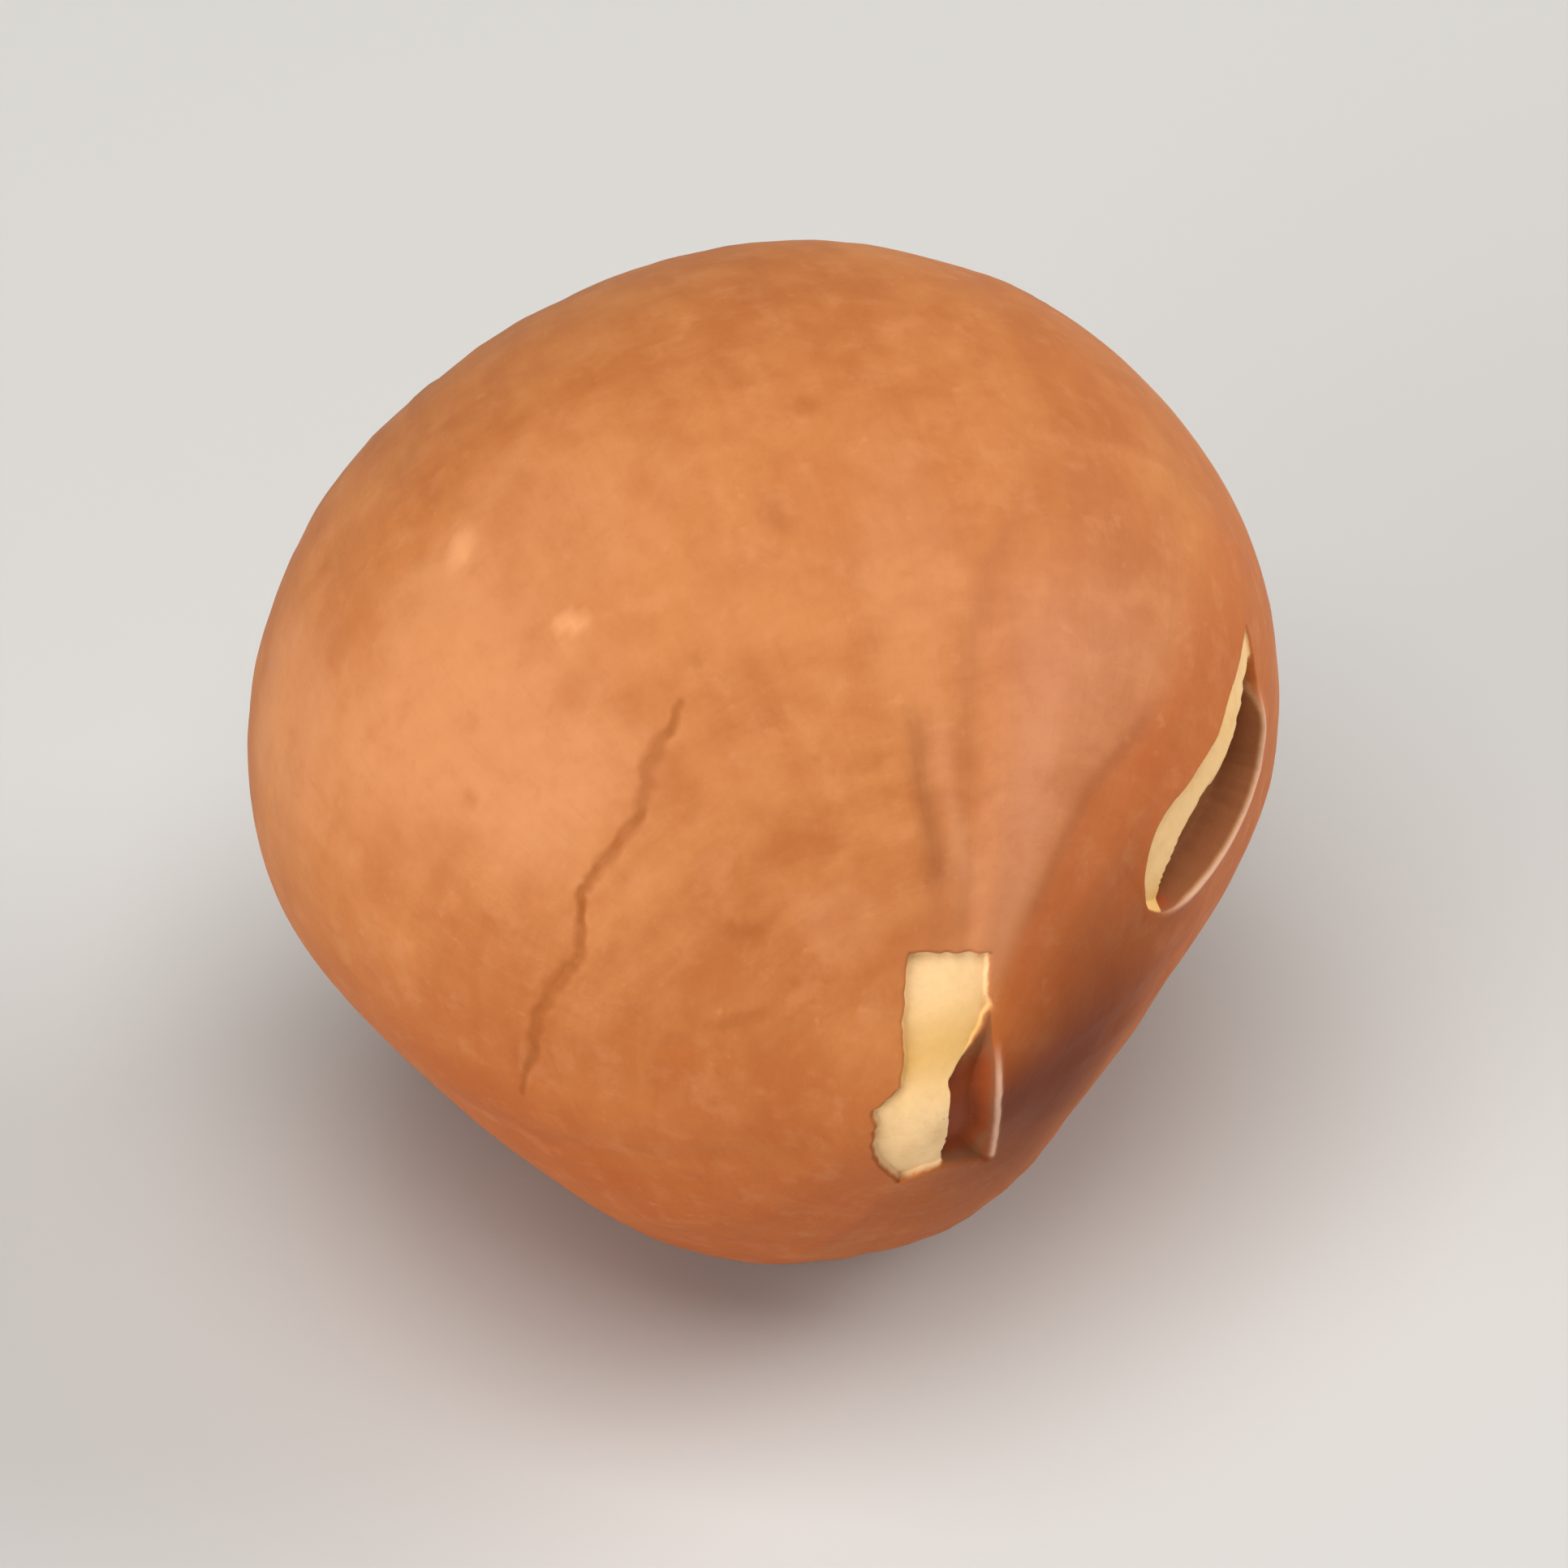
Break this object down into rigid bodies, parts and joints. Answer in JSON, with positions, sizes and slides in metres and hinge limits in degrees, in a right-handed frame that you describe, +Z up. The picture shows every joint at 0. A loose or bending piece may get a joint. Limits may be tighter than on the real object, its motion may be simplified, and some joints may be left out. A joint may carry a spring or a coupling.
{
  "type": "hazelnut kernel",
  "caption": "Shelled, roasted hazelnut kernel in its tan skin, round with a blunt pointed tip, chipped at the nose and lying on a small flat spot.",
  "frame": {"origin": "middle of the small flat spot that the kernel rests on", "axes": "+Z up, -Y out of the pointed tip, +X to the right of someone looking at the tip"},
  "size_m": [0.014, 0.0143, 0.0137],
  "materials": {
    "skin": "dry, matte to satin roasted nut skin, with cream flesh where it is chipped"
  },
  "bodies": {
    "root": {"hazelnut_kernel": "skin"}
  },
  "joints": []
}
